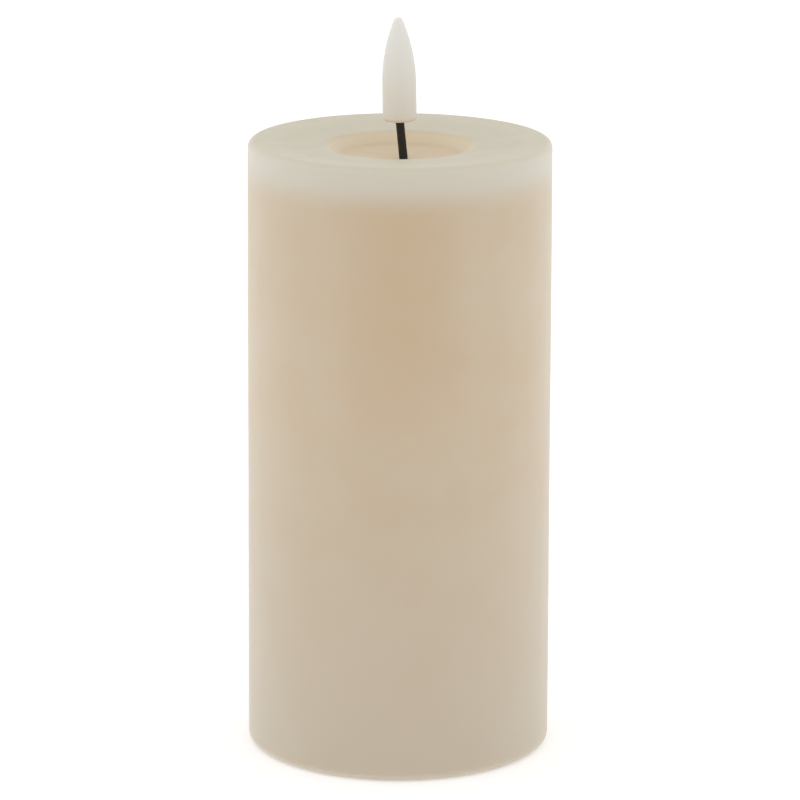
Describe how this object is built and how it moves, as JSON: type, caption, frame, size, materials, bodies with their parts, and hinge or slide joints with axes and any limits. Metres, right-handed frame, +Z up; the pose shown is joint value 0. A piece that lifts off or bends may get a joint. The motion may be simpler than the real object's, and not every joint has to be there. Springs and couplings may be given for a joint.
{
  "type": "flameless led candle",
  "caption": "Battery pillar candle: hollow wax shell with a dished top, leaning black wick, frosted flame, and a base with a hinged battery door and slide switch.",
  "frame": {"origin": "centre of the circle on the surface that the candle stands on", "axes": "+Z up along the pillar, +X along the two cells towards the door's latch, -Y the side that the viewer faces, slide switch on the +Y side of the bay"},
  "size_m": [0.0742, 0.0742, 0.1796],
  "materials": {
    "wax": "cast paraffin wax, satin",
    "liner_plastic": "moulded PP, satin",
    "black_plastic": "extruded black plastic, satin",
    "flame_plastic": "frosted translucent PP",
    "base_plastic": "moulded ABS, fine texture",
    "tray_plastic": "moulded ABS",
    "screw_steel": "zinc plated",
    "contact_steel": "nickel plated spring steel",
    "cell_jacket": "printed sleeve, no marks",
    "board_green": "glass-epoxy board, solder mask",
    "board_white": "glass-epoxy board, white mask",
    "chip_black": "moulded epoxy",
    "led_amber": "phosphor over chip",
    "capacitor_can": "sleeved aluminium can",
    "crystal_can": "drawn can",
    "switch_steel": "nickel plated",
    "switch_paper": "phenolic paper",
    "bronze": "phosphor bronze",
    "wire_red": "PVC sleeve",
    "wire_black": "PVC sleeve",
    "wire_white": "PVC sleeve"
  },
  "bodies": {
    "root": {"wax_pillar": "wax", "core_liner": "liner_plastic", "wick_holder": "liner_plastic", "holder_screws": "screw_steel", "wick_tube": "black_plastic", "flame_shell": "flame_plastic", "flame_plug": "flame_plastic", "flame_led_board": "board_white", "flame_leds": "led_amber", "led_lead_red": "wire_red", "led_lead_black": "wire_black", "base_plate": "base_plastic", "base_screws": "screw_steel", "battery_tray": "tray_plastic", "tray_screws": "screw_steel", "cell_front": "cell_jacket", "cell_rear": "cell_jacket", "positive_contact": "contact_steel", "negative_plate": "contact_steel", "negative_spring": "contact_steel", "bridge_plate": "contact_steel", "bridge_spring": "contact_steel", "control_board": "board_green", "board_screws": "screw_steel", "controller_chip": "chip_black", "smoothing_capacitor": "capacitor_can", "board_resistors": "chip_black", "timing_crystal": "crystal_can", "switch_can": "switch_steel", "switch_wafer": "switch_paper", "switch_terminals": "switch_steel", "switch_screws": "screw_steel", "switch_leads": "wire_white", "battery_lead_red": "wire_red", "battery_lead_black": "wire_black"},
    "battery_door": {"battery_door": "base_plastic"},
    "switch_knob": {"switch_slider": "black_plastic", "switch_wiper": "bronze"}
  },
  "joints": [
    {"name": "door_hinge", "type": "hinge", "parent": "root", "child": "battery_door", "pos_m": [-0.0274, 0, 0.0021], "axis": [0, 1, 0], "range_deg": [0, 90]},
    {"name": "switch_slide", "type": "slide", "parent": "root", "child": "switch_knob", "axis": [1, 0, 0], "range_m": [0, 0.004]}
  ]
}
